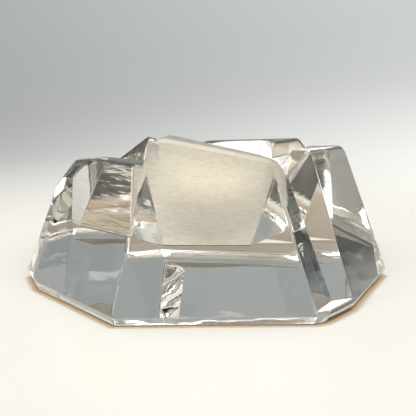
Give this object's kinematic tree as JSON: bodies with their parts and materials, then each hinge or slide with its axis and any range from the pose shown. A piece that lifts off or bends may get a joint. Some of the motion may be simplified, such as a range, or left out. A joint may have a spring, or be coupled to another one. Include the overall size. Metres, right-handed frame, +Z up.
{
  "type": "glass votive holder",
  "caption": "Heavy clear glass votive holder with leaning panels, a broken rim and a funnel well that holds a lift-out tealight.",
  "frame": {"origin": "on the surface that the holder stands on, under the middle of its bounding box", "axes": "+Z up, +X to the right seen from the front, and the tall front panel faces -Y"},
  "size_m": [0.1332, 0.1094, 0.0596],
  "materials": {
    "pressed_glass": "clear polished glass with a fine pressed texture in the well",
    "clear_cup": "clear moulded polycarbonate",
    "ivory_wax": "satin ivory wax",
    "tinned_steel": "stamped and tinned",
    "wick_cotton": "braided cotton, waxed"
  },
  "bodies": {
    "holder": {"glass_holder": "pressed_glass"},
    "tealight": {"tealight_cup": "clear_cup", "tealight_wax": "ivory_wax", "wick_sustainer": "tinned_steel", "wick": "wick_cotton"}
  },
  "joints": [
    {"name": "tealight_lift", "type": "slide", "parent": "holder", "child": "tealight", "axis": [0, 0, 1], "range_m": [0, 0.06]}
  ]
}
